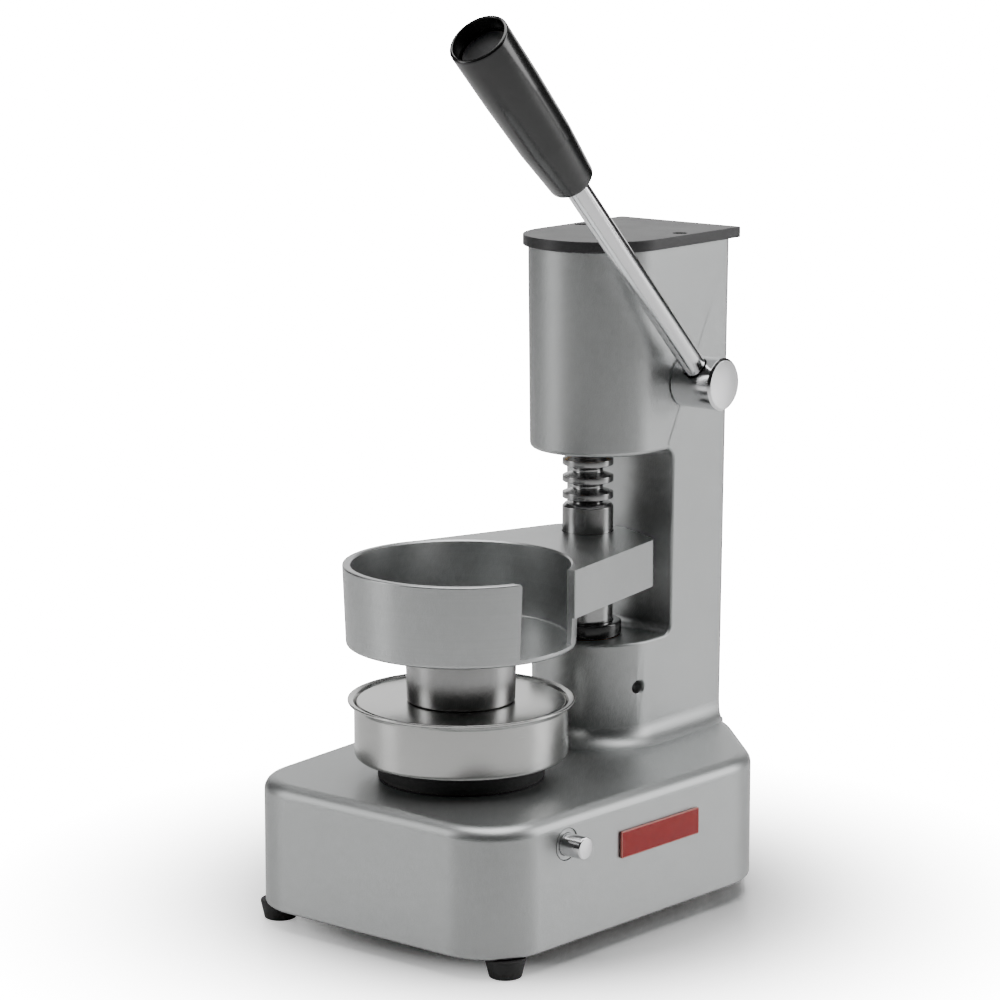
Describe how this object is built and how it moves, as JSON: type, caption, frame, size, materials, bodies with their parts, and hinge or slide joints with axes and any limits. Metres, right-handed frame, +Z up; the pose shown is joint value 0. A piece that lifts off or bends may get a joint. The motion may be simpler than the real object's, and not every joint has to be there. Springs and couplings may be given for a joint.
{
  "type": "patty press",
  "caption": "Manual lever-operated patty press: cast base and column, rack and pinion ram, paper cup, press plate, round mould with a rocker-driven ejector.",
  "frame": {"origin": "on the table, under the middle of the machine; X = 0 is the column's symmetry plane", "axes": "+Z up, -Y is the front with the mould, +X is the lever's side"},
  "size_m": [0.1818, 0.245, 0.4354],
  "materials": {
    "cast_aluminium": "satin bead-blasted",
    "stainless": "brushed",
    "steel": "turned",
    "chrome": "bright",
    "black_gloss": "gloss",
    "black_satin": "satin",
    "rubber": "matte",
    "bronze": "turned",
    "red_enamel": "enamel"
  },
  "bodies": {
    "frame": {"body_casting": "cast_aluminium", "bottom_plate": "stainless", "foot_front_left": "rubber", "foot_front_right": "rubber", "foot_rear_left": "rubber", "foot_rear_right": "rubber", "foot_screw_front_left": "steel", "foot_screw_front_right": "steel", "foot_screw_rear_left": "steel", "foot_screw_rear_right": "steel", "top_cover": "black_satin", "cover_screw_left": "black_satin", "cover_screw_right": "black_satin", "name_plate": "red_enamel", "upper_guide_bush": "bronze", "lower_guide_bush": "bronze", "ram_bumper": "rubber", "friction_screw": "steel", "axle_bush_left": "bronze", "axle_bush_right": "bronze", "mould_support": "black_satin", "mould_pan": "stainless", "rocker_bracket": "steel", "rocker_pin": "steel", "button_bush": "bronze", "button_spring": "steel"},
    "lever": {"pinion_axle": "steel", "pinion": "steel", "pinion_pin": "steel", "lever_hub": "chrome", "hub_screw": "steel", "lever_rod": "chrome", "lever_grip": "black_gloss", "grip_end_cap": "black_gloss"},
    "ram": {"rack_shaft": "steel", "tail_collar": "steel", "carrier_arm": "cast_aluminium", "arm_screw": "steel", "press_neck": "stainless", "press_plate": "stainless", "plate_screw": "steel", "neck_screw": "steel"},
    "rocker": {"ejector_rocker": "steel"},
    "ejector": {"ejector_disc": "stainless", "ejector_rod": "steel"},
    "button": {"release_button": "chrome"}
  },
  "joints": [
    {"name": "lever_turn", "type": "hinge", "parent": "frame", "child": "lever", "pos_m": [0, 0.0807, 0.2505], "axis": [1, 0, 0], "range_deg": [-80, 36.4]},
    {"name": "ram_slide", "type": "slide", "parent": "frame", "child": "ram", "axis": [0, 0, 1], "range_m": [-0.0152, 0.0333]},
    {"name": "rocker_turn", "type": "hinge", "parent": "frame", "child": "rocker", "pos_m": [0, -0.10075, 0.035], "axis": [1, 0, 0], "range_deg": [-6, 13.1]},
    {"name": "ejector_lift", "type": "slide", "parent": "frame", "child": "ejector", "axis": [0, 0, 1], "range_m": [-0.0051, 0.0112]},
    {"name": "button_slide", "type": "slide", "parent": "frame", "child": "button", "axis": [-1, 0, 0], "range_m": [0, 0.01], "stiffness_N_per_m": 250, "springref_m": -0.008, "deforming": ["button_spring"]}
  ],
  "couplings": [
    {"joint": "ram_slide", "follows": "lever_turn", "m_per_rad": -0.023777},
    {"joint": "rocker_turn", "follows": "lever_turn", "ratio": -0.16093},
    {"joint": "ejector_lift", "follows": "lever_turn", "m_per_rad": -0.0079257}
  ]
}
